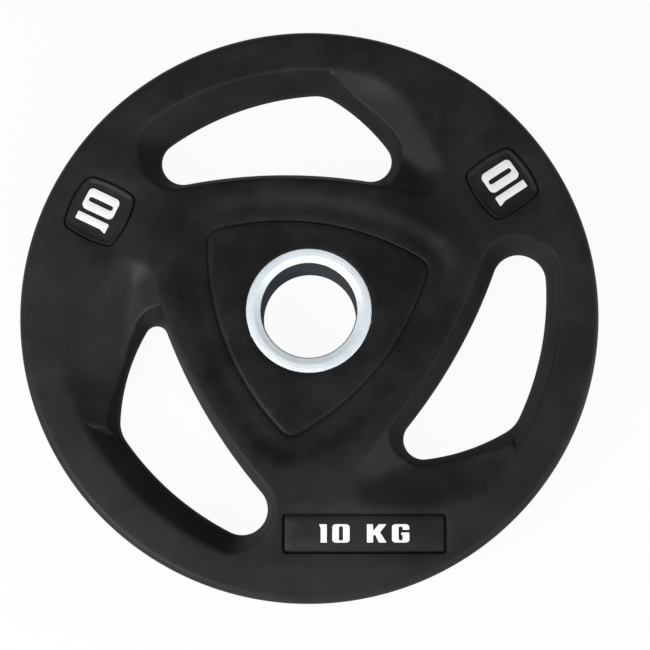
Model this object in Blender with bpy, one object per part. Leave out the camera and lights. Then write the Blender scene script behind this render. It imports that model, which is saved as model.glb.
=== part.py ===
"""Tri-grip weight plate: a rubber-coated cast-iron disc with three grip holes and a steel hub sleeve.

The plate lies on its rear face. The origin is at the centre of that face, +Z points out of the front
face, and -Y is the side with the label. All sizes are in metres and all angles in degrees.
"""
import math

import bmesh
import bpy
import numpy as np
from mathutils.geometry import delaunay_2d_cdt

# Plate
PLATE_RADIUS = 0.1550
PLATE_THICKNESS = 0.0380
EDGE_RADIUS = 0.0042
DISH_DEPTH = 0.0020
DISH_INNER_RADIUS = 0.0680
DISH_OUTER_RADIUS = 0.0840

# Grip recesses: three alike, a third of a turn apart. A corner is (inset from the rim's edge, angle),
# and each side bulges by the given height over the straight line between its corners.
RECESS_CORNERS = ((0.0500, 143.0), (0.0574, 35.5), (0.0200, 72.6), (0.0187, 132.7))
RECESS_BULGES = (-0.0120, 0.0061, 0.0157, 0.0037)
RECESS_FILLETS = (0.0202, 0.0129, 0.0420, 0.0138)

# The scoop falls evenly from the recess's crest. The wall falls from the crest to the hole, but beside the
# scoop, right of a spur between two points of the top grip, it is steeper and only WALL_REACH wide.
SCOOP_SLOPE = 0.28
VALLEY_BLEND = 0.0045
WALL_REACH = 0.0090
WALL_REACH_MORE = 0.0120
SPUR_ENDS = ((0.0290, 88.6), (0.0204, 83.0))
SPUR_BLEND = 0.0040

# Grip holes: top, left and right, each turned back to the top, as photographed.
HOLE_CORNERS = (
    ((0.0287, 151.2), (0.0659, 51.2), (0.0306, 86.4)),
    ((0.0212, 155.4), (0.0734, 58.8), (0.0349, 91.9)),
    ((0.0152, 154.6), (0.0678, 55.8), (0.0287, 91.3)),
)
HOLE_BULGES = ((-0.0127, 0.0063, 0.0157), (-0.0116, 0.0057, 0.0152), (-0.0133, 0.0065, 0.0161))
HOLE_FILLETS = ((0.0124, 0.0117, 0.0185), (0.0136, 0.0061, 0.0176), (0.0145, 0.0106, 0.0179))
HOLE_LAND = 0.0060
GRIP_CENTRE = (0.0588, 99.0)

# Hub shield
SHIELD_CORNER_RADIUS = 0.0705
SHIELD_ANGLE = 21.3
SHIELD_BULGE = 0.0136
SHIELD_FILLET = 0.0084
SHIELD_RAISE = 0.0010
GROOVE_WIDTH = 0.0014
GROOVE_DEPTH = 0.0009

# Numeral badges
BADGE_ANGLES = (33.6, 154.3)
BADGE_INSET = 0.0297
BADGE_LENGTH = 0.0292
BADGE_WIDTH = 0.0312
BADGE_SIDE_BULGE = 0.0017
BADGE_END_BULGE = 0.0024
BADGE_FILLET = 0.0052
BADGE_BEVEL = 0.0022
PANEL_DROP = 0.0011
BADGE_GROOVE_DEPTH = 0.0014

# Label panel
LABEL_INSET = 0.0330
LABEL_ANGLE = -76.16
LABEL_LENGTH = 0.0866
LABEL_HEIGHT = 0.0216
LABEL_FILLET = 0.0025
LABEL_GROOVE_WIDTH = 0.0013
LABEL_GROOVE_DEPTH = 0.0016

# Numerals and characters. Shares are of a glyph's own height.
NUMERAL_HEIGHT = 0.0184
NUMERAL_GAP = 0.0024
NUMERAL_OFFSET = 0.0012
CHARACTER_HEIGHT = 0.0096
CHARACTER_STRETCH = 1.45
CHARACTER_GAP = 0.0028
WORD_GAP = 0.0090
INLAY_STAND = 0.0008
ROUND_WIDTH = 0.655
ROUND_CORNER = 0.150
COUNTER_WIDTH = 0.150
COUNTER_HEIGHT = 0.775
COUNTER_CORNER = 0.49
STROKE = 0.235
FLAG_REACH = 0.055
FLAG_HEIGHT = 0.190
FLAG_TIP = 0.050
K_WIDTH = 0.740
MIRRORED_BADGE = ("front", "left")

# Iron core and its cover
CORE_INSET = 0.0050
CORE_WINDOW_COVER = 0.0012
FACE_COVER = 0.0042
CORE_CHAMFER = 0.0010

# Hub sleeve
SLEEVE_RADIUS = 0.0336
SLEEVE_BORE_RADIUS = 0.0254
SLEEVE_PROUD = 0.0007
SLEEVE_RIM_ROUND = 0.0008
LEAD_IN_WIDTH = 0.0029
LEAD_IN_DEPTH = 0.0012
BORE_EDGE_ROUND = 0.0008

CLEARANCE = 0.0003

# Mesh steps
RIM_STEPS = 72
HUB_STEPS = 48
EDGE_STEPS = 4
CORNER_STEPS = 4
SIDE_STEPS = 5
FINE_STEPS = 24
HOLE_STEPS = 4
RAY_GAP = 1.4
RAY_TOLERANCE = 1e-6
RECESS_ROWS = (0.22, 0.46, 0.72)
VALLEY_STEPS = 6
DISH_RING_STEPS = 36
GLYPH_CORNER_STEPS = 4
DISH_POINT_GAP = -0.0030
SMOOTH_ANGLE = 32

HALF = PLATE_THICKNESS / 2
LAND_HALF = HOLE_LAND / 2
HUB_HOLE_RADIUS = SLEEVE_RADIUS + CLEARANCE
CORE_HALF = HALF - FACE_COVER - CLEARANCE
POCKET_HALF = CORE_HALF + CLEARANCE
SLEEVE_HALF = HALF - DISH_DEPTH + SHIELD_RAISE + SLEEVE_PROUD
POCKET_RADIUS = PLATE_RADIUS - CORE_INSET + CLEARANCE
GRIP_TURNS = (0, 120, 240)


def clear_scene():
    for obj in list(bpy.data.objects):
        bpy.data.objects.remove(obj, do_unlink=True)


def make_material(name, colour, roughness, metallic):
    material = bpy.data.materials.new(name)
    material.use_nodes = True
    shader = material.node_tree.nodes["Principled BSDF"]
    shader.inputs["Base Color"].default_value = (*colour, 1.0)
    shader.inputs["Roughness"].default_value = roughness
    shader.inputs["Metallic"].default_value = metallic
    return material


def polar(radius, angle):
    return (radius * math.cos(math.radians(angle)), radius * math.sin(math.radians(angle)))


def rotate(points, angle):
    """Turns an array of points about the plate's axis, by an angle in degrees."""
    turn = math.radians(angle)
    x, y = points[:, 0], points[:, 1]
    return np.stack([x * math.cos(turn) - y * math.sin(turn), x * math.sin(turn) + y * math.cos(turn)], 1)


def side_circle(start, end, bulge):
    """Centre and signed radius of the arc from start to end that stands `bulge` off the chord."""
    length = math.dist(start, end)
    radius = (length * length / 4 + bulge * bulge) / (2 * bulge)
    out_x, out_y = (end[1] - start[1]) / length, (start[0] - end[0]) / length
    middle_x, middle_y = (start[0] + end[0]) / 2, (start[1] + end[1]) / 2
    return (middle_x + out_x * (bulge - radius), middle_y + out_y * (bulge - radius), radius)


def corner_fillet(before, after, corner, radius):
    """The circle of the given radius that touches two side circles next to their corner."""
    reach_before = abs(before[2]) - math.copysign(radius, before[2])
    reach_after = abs(after[2]) - math.copysign(radius, after[2])
    dx, dy = after[0] - before[0], after[1] - before[1]
    apart = math.hypot(dx, dy)
    along = (reach_before ** 2 - reach_after ** 2 + apart ** 2) / (2 * apart)
    across = math.sqrt(max(reach_before ** 2 - along ** 2, 0.0))
    choices = []
    for side in (1, -1):
        x = before[0] + (along * dx - side * across * dy) / apart
        y = before[1] + (along * dy + side * across * dx) / apart
        choices.append((math.dist((x, y), corner), x, y))
    _, x, y = min(choices)
    return (x, y)


def touch_point(fillet, circle):
    scale = abs(circle[2]) / math.dist(fillet, circle[:2])
    return (circle[0] + (fillet[0] - circle[0]) * scale, circle[1] + (fillet[1] - circle[1]) * scale)


def arc_points(centre, start, end, steps):
    """Points of the short arc from start towards end, without the end itself."""
    radius = math.dist(centre, start)
    first = math.atan2(start[1] - centre[1], start[0] - centre[0])
    last = math.atan2(end[1] - centre[1], end[0] - centre[0])
    sweep = (last - first + math.pi) % (2 * math.pi) - math.pi
    angles = [first + sweep * step / steps for step in range(steps)]
    return [(centre[0] + radius * math.cos(a), centre[1] + radius * math.sin(a)) for a in angles]


def bulged_outline(corners, bulges, fillets, corner_steps=CORNER_STEPS, side_steps=SIDE_STEPS):
    """A closed counter-clockwise outline of arcs with a rounded corner between each two."""
    count = len(corners)
    sides = [side_circle(corners[i], corners[(i + 1) % count], bulges[i]) for i in range(count)]
    rounds = [corner_fillet(sides[i - 1], sides[i], corners[i], fillets[i]) for i in range(count)]
    points = []
    for i in range(count):
        start = touch_point(rounds[i], sides[i - 1])
        turn = touch_point(rounds[i], sides[i])
        end = touch_point(rounds[(i + 1) % count], sides[i])
        points += arc_points(rounds[i], start, turn, corner_steps)
        points += arc_points(sides[i][:2], turn, end, side_steps)
    return np.array(points)


def circle(radius, steps):
    angles = np.arange(steps) * 2 * math.pi / steps
    return np.stack([radius * np.cos(angles), radius * np.sin(angles)], 1)


def distance_inside(outline, points):
    """Distance from each point to a closed outline: positive inside it, negative outside."""
    start = outline[None, :, :]
    end = np.roll(outline, -1, 0)[None, :, :]
    side = end - start
    offset = points[:, None, :] - start
    share = np.clip((offset * side).sum(2) / (side * side).sum(2), 0, 1)
    nearest = offset - share[..., None] * side
    distance = np.sqrt((nearest * nearest).sum(2)).min(1)
    crosses = (start[..., 1] > points[:, None, 1]) != (end[..., 1] > points[:, None, 1])
    rise = np.where(side[..., 1] == 0, 1e-12, side[..., 1])
    where_x = start[..., 0] + side[..., 0] * (points[:, None, 1] - start[..., 1]) / rise
    inside = (crosses & (points[:, None, 0] < where_x)).sum(1) % 2 == 1
    return np.where(inside, distance, -distance)


def grow(outline, amount):
    """Moves an outline outwards along the mean of the directions of its neighbouring sides."""
    ahead = np.roll(outline, -1, 0) - outline
    behind = outline - np.roll(outline, 1, 0)
    out = np.stack([ahead[:, 1], -ahead[:, 0]], 1) / np.linalg.norm(ahead, axis=1)[:, None]
    out += np.stack([behind[:, 1], -behind[:, 0]], 1) / np.linalg.norm(behind, axis=1)[:, None]
    scale = amount * 2 / (out * out).sum(1)
    return outline + out * scale[:, None]


def smooth_step(value):
    share = np.clip(value, 0, 1)
    return share * share * (3 - 2 * share)


def window_outline(corners, bulges, fillets, fine=False):
    """One outline of the top grip, from corners given as (inset from the rim's edge, angle)."""
    steps = (FINE_STEPS, FINE_STEPS) if fine else (CORNER_STEPS, SIDE_STEPS)
    places = [polar(PLATE_RADIUS - inset, angle) for inset, angle in corners]
    return bulged_outline(places, bulges, fillets, *steps)


def rounded_polygon(corners, radii, steps=GLYPH_CORNER_STEPS):
    """A closed outline of straight sides with each corner rounded, or sharp where its radius is zero."""
    points = []
    for i, corner in enumerate(corners):
        before = np.subtract(corners[i - 1], corner)
        after = np.subtract(corners[(i + 1) % len(corners)], corner)
        before = before / np.linalg.norm(before)
        after = after / np.linalg.norm(after)
        if radii[i] == 0:
            points.append(corner)
            continue
        half_angle = math.acos(float(before @ after)) / 2
        length = radii[i] / math.tan(half_angle)
        start = tuple(corner + before * length)
        end = tuple(corner + after * length)
        middle = before + after
        centre = tuple(corner + middle / np.linalg.norm(middle) * radii[i] / math.sin(half_angle))
        points += arc_points(centre, start, end, steps) + [end]
    return np.array(points)


def rectangle(centre, length, height, radius, steps=GLYPH_CORNER_STEPS):
    x, y = centre
    corners = [(x + u * length / 2, y + v * height / 2) for u, v in ((-1, -1), (1, -1), (1, 1), (-1, 1))]
    return rounded_polygon(corners, (radius,) * 4, steps)


def badge_outline():
    half_length, half_width = BADGE_LENGTH / 2, BADGE_WIDTH / 2
    middle = PLATE_RADIUS - BADGE_INSET
    corners = [(middle + u * half_length, v * half_width) for u, v in ((-1, -1), (1, -1), (1, 1), (-1, 1))]
    bulges = (BADGE_SIDE_BULGE, BADGE_END_BULGE, BADGE_SIDE_BULGE, BADGE_END_BULGE)
    return bulged_outline(corners, bulges, (BADGE_FILLET,) * 4, 3, 3)


def shield_outline():
    corners = [polar(SHIELD_CORNER_RADIUS, SHIELD_ANGLE + turn) for turn in GRIP_TURNS]
    return bulged_outline(corners, (SHIELD_BULGE,) * 3, (SHIELD_FILLET,) * 3, CORNER_STEPS, SIDE_STEPS)


RECESS = window_outline(RECESS_CORNERS, RECESS_BULGES, RECESS_FILLETS)
RECESS_FINE = window_outline(RECESS_CORNERS, RECESS_BULGES, RECESS_FILLETS, True)
HOLES = [window_outline(*hole, True) for hole in zip(HOLE_CORNERS, HOLE_BULGES, HOLE_FILLETS)]
SHIELD = shield_outline()
BADGES = [rotate(badge_outline(), angle) for angle in BADGE_ANGLES]
LABEL_CENTRE = polar(PLATE_RADIUS - LABEL_INSET, LABEL_ANGLE)
LABEL = rectangle(LABEL_CENTRE, LABEL_LENGTH, LABEL_HEIGHT, LABEL_FILLET, 2)

# Each detail: its outline, then how far inside it each break of its section lies, and the height there.
SHIELD_SECTION = ((0, GROOVE_WIDTH / 2, GROOVE_WIDTH), (0, -GROOVE_DEPTH, SHIELD_RAISE))
BADGE_SECTION = ((0, GROOVE_WIDTH / 2, GROOVE_WIDTH + BADGE_BEVEL), (0, -BADGE_GROOVE_DEPTH, -PANEL_DROP))
LABEL_SECTION = ((0, LABEL_GROOVE_WIDTH / 2, LABEL_GROOVE_WIDTH), (0, -LABEL_GROOVE_DEPTH, -PANEL_DROP))
DETAILS = [(SHIELD, SHIELD_SECTION), (LABEL, LABEL_SECTION)] + [(badge, BADGE_SECTION) for badge in BADGES]


def face_height(points):
    """Height of the moulded face over the middle plane, leaving the grip recesses out."""
    radius = np.linalg.norm(points, axis=1)
    dish = 1 - smooth_step((radius - DISH_INNER_RADIUS) / (DISH_OUTER_RADIUS - DISH_INNER_RADIUS))
    height = HALF - DISH_DEPTH * dish
    for outline, (distances, heights) in DETAILS:
        height = height + np.interp(distance_inside(outline, points), distances, heights)
    return height


def level(height):
    """A flat cap's height, for any points."""
    return lambda points: np.full(len(points), height)


def recess_height(points, turn, hole):
    """Height inside one grip recess: the lower of the scoop and the wall down to the hole."""
    face = face_height(points)
    in_window = rotate(points, -turn)
    offsets = circle(VALLEY_BLEND, VALLEY_STEPS)
    around = sum(distance_inside(RECESS_FINE, in_window + offset) for offset in offsets)
    scoop = face - SCOOP_SLOPE * np.clip(around / VALLEY_STEPS, 0, None)
    from_crest = np.clip(distance_inside(RECESS_FINE, in_window), 0, None)
    from_hole = np.clip(-distance_inside(hole, in_window), 0, None)
    low, high = (np.array(polar(PLATE_RADIUS - inset, angle)) for inset, angle in SPUR_ENDS)
    along = (high - low) / math.dist(high, low)
    right_of_spur = (in_window - low) @ (along[1], -along[0])
    reach = WALL_REACH + WALL_REACH_MORE * smooth_step(0.5 - right_of_spur / SPUR_BLEND)
    share = from_hole / np.minimum(from_hole + from_crest, reach)
    return np.minimum(scoop, LAND_HALF + (face - LAND_HALF) * share)


def ray_hits(centre, angles, outline):
    """The points where rays from a centre, at the given angles, leave a closed outline."""
    direction = np.stack([np.cos(angles), np.sin(angles)], 1)[:, None, :]
    start = (outline - centre)[None, :, :]
    side = np.roll(outline, -1, 0)[None, :, :] - outline[None, :, :]
    cross = direction[..., 0] * side[..., 1] - direction[..., 1] * side[..., 0]
    cross = np.where(np.abs(cross) < 1e-15, 1e-15, cross)
    along = (start[..., 0] * side[..., 1] - start[..., 1] * side[..., 0]) / cross
    on_side = (start[..., 0] * direction[..., 1] - start[..., 1] * direction[..., 0]) / cross
    valid = (along > 0) & (on_side > -RAY_TOLERANCE) & (on_side < 1 + RAY_TOLERANCE)
    reach = np.where(valid, along, np.inf).min(1)
    return centre + direction[:, 0, :] * reach[:, None]


def grip_loops(turn, hole):
    """The hole's edge and the recess's crest of one grip, with their points in pairs along rays."""
    centre = rotate(np.array([polar(PLATE_RADIUS - GRIP_CENTRE[0], GRIP_CENTRE[1])]), turn)[0]
    hole = rotate(hole, turn)
    angles = []
    for outline in (hole[::FINE_STEPS // HOLE_STEPS], rotate(RECESS, turn)):
        offset = outline - centre
        for angle in np.arctan2(offset[:, 1], offset[:, 0]).tolist():
            apart = [abs((angle - other + math.pi) % (2 * math.pi) - math.pi) for other in angles]
            if not apart or min(apart) > math.radians(RAY_GAP):
                angles.append(angle)
    angles = np.array(sorted(angles))
    return ray_hits(centre, angles, hole), ray_hits(centre, angles, rotate(RECESS_FINE, turn))


class Solid:
    """Collects the points and faces of one piece, and turns them into a named object."""

    def __init__(self):
        self.points = []
        self.faces = []

    def loop(self, outline, heights):
        first = len(self.points)
        heights = np.broadcast_to(heights, len(outline))
        self.points += [(x, y, z) for (x, y), z in zip(outline.tolist(), heights.tolist())]
        return list(range(first, len(self.points)))

    def strip(self, first, second):
        count = len(first)
        for i in range(count):
            after = (i + 1) % count
            self.faces.append((first[i], first[after], second[after], second[i]))

    def walls(self, loops):
        for first, second in zip(loops, loops[1:]):
            self.strip(first, second)

    def cap(self, outer, holes, details, height):
        """Fills an outline around its holes, keeping every detail's points, and returns the border loops."""
        loops = [outer] + holes + details
        points, edges = [], []
        for outline in loops:
            first, count = len(points), len(outline)
            points += outline.tolist()
            if count > 2:
                edges += [(first + i, first + (i + 1) % count) for i in range(count)]
        result = delaunay_2d_cdt(points, edges, [], 0, 1e-9, True)
        corners = np.array([tuple(point) for point in result[0]])
        triangles = np.array(result[2])
        middles = corners[triangles].mean(1)
        keep = distance_inside(outer, middles) > 0
        for hole in holes:
            keep &= distance_inside(hole, middles) < 0
        place = {sources[0]: index for index, sources in enumerate(result[3]) if sources}
        indices = self.loop(corners, height(corners))
        self.faces += [tuple(indices[corner] for corner in triangle) for triangle in triangles[keep].tolist()]
        borders, first = [], 0
        for outline in [outer] + holes:
            borders.append([indices[place[first + i]] for i in range(len(outline))])
            first += len(outline)
        return borders

    def build(self, name, material, flipped=False):
        points = np.array(self.points)
        if flipped:
            points = points * (1, 1, -1)
        mesh = bpy.data.meshes.new(name)
        mesh.from_pydata(points.tolist(), [], self.faces)
        work = bmesh.new()
        work.from_mesh(mesh)
        loose = [vertex for vertex in work.verts if not vertex.link_faces]
        bmesh.ops.delete(work, geom=loose, context="VERTS")
        bmesh.ops.triangulate(work, faces=work.faces)
        bmesh.ops.recalc_face_normals(work, faces=work.faces)
        work.to_mesh(mesh)
        work.free()
        mesh.shade_smooth()
        mesh.set_sharp_from_angle(angle=math.radians(SMOOTH_ANGLE))
        mesh.materials.append(material)
        obj = bpy.data.objects.new(name, mesh)
        obj.location = (0, 0, HALF)
        bpy.context.scene.collection.objects.link(obj)
        return obj


def build_skin(name, material, flipped):
    """Half of the rubber moulding: face, rim, grip walls and the pocket that the iron core fills."""
    solid = Solid()
    holes, recesses = zip(*[grip_loops(turn, hole) for turn, hole in zip(GRIP_TURNS, HOLES)])
    recesses = list(recesses)
    insets = [grow(outline, -depth) for outline, section in DETAILS for depth in section[0]]
    dish_rings = []
    for radius in (DISH_INNER_RADIUS, (DISH_INNER_RADIUS + DISH_OUTER_RADIUS) / 2, DISH_OUTER_RADIUS):
        ring = circle(radius, DISH_RING_STEPS)
        clear = np.ones(len(ring), bool)
        for outline in recesses + [SHIELD]:
            clear &= distance_inside(outline, ring) < DISH_POINT_GAP
        dish_rings += [point[None, :] for point in ring[clear]]
    face_rim = circle(PLATE_RADIUS - EDGE_RADIUS, RIM_STEPS)
    hub = circle(HUB_HOLE_RADIUS, HUB_STEPS)
    face_loops = solid.cap(face_rim, recesses + [hub], insets + dish_rings, face_height)

    edge = [face_loops[0]]
    for step in range(1, EDGE_STEPS + 1):
        angle = math.pi / 2 * (1 - step / EDGE_STEPS)
        radius = PLATE_RADIUS - EDGE_RADIUS + EDGE_RADIUS * math.cos(angle)
        edge.append(solid.loop(circle(radius, RIM_STEPS), HALF - EDGE_RADIUS + EDGE_RADIUS * math.sin(angle)))
    pocket_rim = circle(POCKET_RADIUS, RIM_STEPS)
    edge.append(solid.loop(circle(PLATE_RADIUS, RIM_STEPS), 0))
    edge.append(solid.loop(pocket_rim, 0))

    collars = [grow(recess, CORE_WINDOW_COVER - CLEARANCE) for recess in recesses]
    pocket_loops = solid.cap(pocket_rim, collars + [hub], [], level(POCKET_HALF))
    edge.append(pocket_loops[0])
    solid.walls(edge)
    solid.walls([face_loops[-1], pocket_loops[-1]])

    for i, turn in enumerate(GRIP_TURNS):
        loops = [solid.loop(holes[i], 0), solid.loop(holes[i], LAND_HALF)]
        for share in RECESS_ROWS:
            row = holes[i] + (recesses[i] - holes[i]) * share
            loops.append(solid.loop(row, recess_height(row, turn, HOLES[i])))
        solid.walls(loops + [face_loops[1 + i]])
        solid.walls([loops[0], solid.loop(collars[i], 0), pocket_loops[1 + i]])
    return solid.build(name, material, flipped)


def build_core(name, material):
    """The cast-iron disc inside the rubber, with the three windows and the bore for the sleeve."""
    solid = Solid()
    radius = PLATE_RADIUS - CORE_INSET
    hub = circle(HUB_HOLE_RADIUS, HUB_STEPS)
    recesses = [grip_loops(turn, hole)[1] for turn, hole in zip(GRIP_TURNS, HOLES)]
    windows = [grow(recess, CORE_WINDOW_COVER) for recess in recesses]
    cut_back = [grow(window, CORE_CHAMFER) for window in windows]
    rim = circle(radius - CORE_CHAMFER, RIM_STEPS)
    ends = []
    for side in (1, -1):
        height = side * CORE_HALF
        borders = solid.cap(rim, cut_back + [hub], [], level(height))
        shoulder = height - side * CORE_CHAMFER
        outlines = [circle(radius, RIM_STEPS)] + windows
        shoulders = [solid.loop(outline, shoulder) for outline in outlines]
        for border, loop in zip(borders, shoulders):
            solid.strip(border, loop)
        ends.append(shoulders + [borders[-1]])
    for upper, lower in zip(*ends):
        solid.strip(upper, lower)
    return solid.build(name, material)


def build_sleeve(name, material):
    """The turned steel sleeve: rounded rim, flat end face, lead-in cone and bore."""
    bore_mouth = SLEEVE_BORE_RADIUS + BORE_EDGE_ROUND
    upper = [(SLEEVE_RADIUS, SLEEVE_HALF - SLEEVE_RIM_ROUND)]
    middle = SLEEVE_RIM_ROUND * (1 - math.sqrt(0.5))
    upper.append((SLEEVE_RADIUS - middle, SLEEVE_HALF - middle))
    upper.append((SLEEVE_RADIUS - SLEEVE_RIM_ROUND, SLEEVE_HALF))
    upper.append((bore_mouth + LEAD_IN_WIDTH, SLEEVE_HALF))
    upper.append((bore_mouth, SLEEVE_HALF - LEAD_IN_DEPTH))
    upper.append((SLEEVE_BORE_RADIUS, SLEEVE_HALF - LEAD_IN_DEPTH - 2 * BORE_EDGE_ROUND))
    profile = upper + [(radius, -height) for radius, height in reversed(upper)]
    solid = Solid()
    loops = [solid.loop(circle(radius, HUB_STEPS), height) for radius, height in profile]
    solid.walls(loops + [loops[0]])
    return solid.build(name, material)


def glyph_one():
    """A bar with a small flag at its top left."""
    right = FLAG_REACH + STROKE
    flag_foot = (FLAG_REACH, 1 - FLAG_HEIGHT)
    corners = [(FLAG_REACH, 0), (right, 0), (right, 1), (0, 1), (0, 1 - FLAG_TIP), flag_foot]
    return [rounded_polygon(corners, (0, 0, FLAG_TIP, 0, 0, 0))], right


def glyph_zero():
    centre = (ROUND_WIDTH / 2, 0.5)
    outer = rectangle(centre, ROUND_WIDTH, 1, ROUND_CORNER)
    counter = rectangle(centre, COUNTER_WIDTH, COUNTER_HEIGHT, COUNTER_WIDTH * COUNTER_CORNER)
    return [outer, counter], ROUND_WIDTH


def glyph_k():
    """A bar with two legs that meet its middle."""
    foot = K_WIDTH - STROKE * 1.25
    corners = [(0, 0), (STROKE, 0), (STROKE, 0.36), (0.31, 0.44), (foot, 0), (K_WIDTH, 0), (0.50, 0.56)]
    corners += [(K_WIDTH, 1), (foot, 1), (STROKE, 0.62), (STROKE, 1), (0, 1)]
    return [rounded_polygon(corners, (0,) * 12)], K_WIDTH


def glyph_g():
    """The zero's outline opened at the right, with a bar half way up."""
    inner_left, inner_right = (ROUND_WIDTH - COUNTER_WIDTH) / 2, (ROUND_WIDTH + COUNTER_WIDTH) / 2
    low, high = (1 - COUNTER_HEIGHT) / 2 + 0.02, (1 + COUNTER_HEIGHT) / 2 - 0.02
    bar_left, bar_low, bar_high, lip = inner_left + 0.1, 0.40, 0.55, 0.69
    corners = [(0, 0), (ROUND_WIDTH, 0), (ROUND_WIDTH, bar_high), (bar_left, bar_high), (bar_left, bar_low)]
    corners += [(inner_right, bar_low), (inner_right, low), (inner_left, low), (inner_left, high)]
    corners += [(inner_right, high), (inner_right, lip), (ROUND_WIDTH, lip), (ROUND_WIDTH, 1), (0, 1)]
    inside = (COUNTER_WIDTH * COUNTER_CORNER,) * 4
    radii = (ROUND_CORNER, ROUND_CORNER, 0, 0, 0, 0, *inside, 0, 0, ROUND_CORNER, ROUND_CORNER)
    return [rounded_polygon(corners, radii)], ROUND_WIDTH


GLYPHS = {"1": glyph_one, "0": glyph_zero, "K": glyph_k, "G": glyph_g}


def build_inlays(prefix, text, sizes, axes, material, flipped):
    """A row of raised glyphs on a panel. sizes: height, stretch and gaps; axes: centre, right and up."""
    size, stretch, gaps = sizes
    centre, right, up = axes
    drawn = [GLYPHS[letter]() for letter in text]
    scale = size * stretch
    total = sum(width for _, width in drawn) * scale + sum(gaps)
    x = -total / 2
    panel = HALF - PANEL_DROP
    for letter, (outlines, width), gap in zip(text, drawn, list(gaps) + [0]):
        placed = []
        for outline in outlines:
            local = outline * (scale, size) + (x, -size / 2)
            placed.append(centre + local[:, :1] * right + local[:, 1:] * up)
        solid = Solid()
        low = solid.cap(placed[0], placed[1:], [], level(panel))
        high = solid.cap(placed[0], placed[1:], [], level(panel + INLAY_STAND))
        for bottom, top in zip(low, high):
            solid.strip(bottom, top)
        solid.build(f"{prefix}_{letter}", material, flipped)
        x += width * scale + gap


def build_face_inlays(side, material, flipped):
    """The numerals of both badges and the characters of the label, on one face."""
    facing = -1 if flipped else 1
    for place, angle in zip(("right", "left"), BADGE_ANGLES):
        out = np.array(polar(1, angle))
        around = np.array(polar(1, angle + 90))
        mirrored = -1 if (side, place) == MIRRORED_BADGE else 1
        centre = out * (PLATE_RADIUS - BADGE_INSET + NUMERAL_OFFSET)
        axes = (centre, around * facing * mirrored, -out)
        sizes = (NUMERAL_HEIGHT, 1, (NUMERAL_GAP,))
        build_inlays(f"{side}_{place}_numeral", "10", sizes, axes, material, flipped)
    axes = (np.array(LABEL_CENTRE), np.array([facing, 0]), np.array([0, 1]))
    sizes = (CHARACTER_HEIGHT, CHARACTER_STRETCH, (CHARACTER_GAP, WORD_GAP, CHARACTER_GAP))
    build_inlays(f"{side}_label", "10KG", sizes, axes, material, flipped)


clear_scene()
rubber = make_material("rubber", (0.024, 0.025, 0.027), 0.62, 0.0)
iron = make_material("cast_iron", (0.16, 0.16, 0.165), 0.75, 0.85)
steel = make_material("zinc_plated_steel", (0.70, 0.73, 0.76), 0.30, 1.0)
white = make_material("white_inlay", (0.86, 0.86, 0.85), 0.50, 0.0)
build_core("iron_core", iron)
build_skin("front_rubber_skin", rubber, False)
build_skin("rear_rubber_skin", rubber, True)
build_sleeve("hub_sleeve", steel)
build_face_inlays("front", white, False)
build_face_inlays("rear", white, True)
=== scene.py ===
# %% [markdown]
# # A weight plate with three grips
#
# This plate is a cast-iron disc inside a thick moulded rubber cover. Three grip holes sweep round a steel
# hub sleeve, and a hand reaches the rim through a hollow that is scooped out beside each hole. The script
# dresses the plain solids of the frame: it gives the rubber its fine surface, turns the sleeve, rounds the
# numerals, and then adds finishes, a floor, lamps and a camera.
#
# The frame comes first, because everything else takes its place and its size from it.

# %% Load the frame
import math
import bpy
import bmesh
import numpy as np
from mathutils import Matrix, Vector
from mathutils.geometry import delaunay_2d_cdt


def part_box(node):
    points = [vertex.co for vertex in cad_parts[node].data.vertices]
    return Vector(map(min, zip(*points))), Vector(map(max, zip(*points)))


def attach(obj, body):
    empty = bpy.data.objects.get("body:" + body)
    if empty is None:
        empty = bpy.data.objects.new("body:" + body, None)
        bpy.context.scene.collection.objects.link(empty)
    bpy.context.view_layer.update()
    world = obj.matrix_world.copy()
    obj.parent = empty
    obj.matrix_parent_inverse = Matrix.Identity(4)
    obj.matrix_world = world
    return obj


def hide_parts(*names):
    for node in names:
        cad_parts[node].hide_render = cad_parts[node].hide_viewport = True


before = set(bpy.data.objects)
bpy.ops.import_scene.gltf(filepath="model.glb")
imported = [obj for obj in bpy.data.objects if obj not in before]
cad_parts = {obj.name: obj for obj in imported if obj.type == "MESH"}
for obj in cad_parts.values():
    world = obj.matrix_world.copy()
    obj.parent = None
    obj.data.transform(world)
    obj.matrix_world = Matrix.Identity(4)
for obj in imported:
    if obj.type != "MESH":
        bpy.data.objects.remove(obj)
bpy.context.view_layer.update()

skin_low, skin_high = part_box("front_rubber_skin")
sleeve_low, sleeve_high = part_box("hub_sleeve")
core_low, core_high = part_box("iron_core")
PLATE_RADIUS = (skin_high[0] - skin_low[0]) / 2
MIDDLE = skin_low[2]
HALF = skin_high[2] - MIDDLE
SLEEVE_RADIUS = (sleeve_high[0] - sleeve_low[0]) / 2
SLEEVE_HALF = (sleeve_high[2] - sleeve_low[2]) / 2
print(f"plate radius {PLATE_RADIUS:.4f} m, half thickness {HALF:.4f} m, sleeve radius {SLEEVE_RADIUS:.4f} m")

# %% [markdown]
# ## Where the camera stands
#
# The photograph looks down on the plate from a little below its label side. A camera's place can be found
# from the plate itself: the rim, the hub ring and the grips are circles and arcs whose true shape is known,
# and the way they are squeezed in the picture gives the tilt, the turn, the distance and the sideways
# offset. The camera is described here by just these, so each can be changed by itself.

# %% Camera
CAMERA_TILT = math.radians(-9.0)
CAMERA_TURN = math.radians(-0.5)
CAMERA_DISTANCE = 0.9178
PICTURE_OFFSET = (-0.00862, 0.00791)
HUB_SINK = 0.0010
HUB_FACE = skin_high[2] - HUB_SINK
LENS = 95.13


def add_object(name, data):
    """An object in the scene that carries a mesh, a lamp or a camera."""
    made = bpy.data.objects.new(name, data)
    bpy.context.scene.collection.objects.link(made)
    return made


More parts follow.
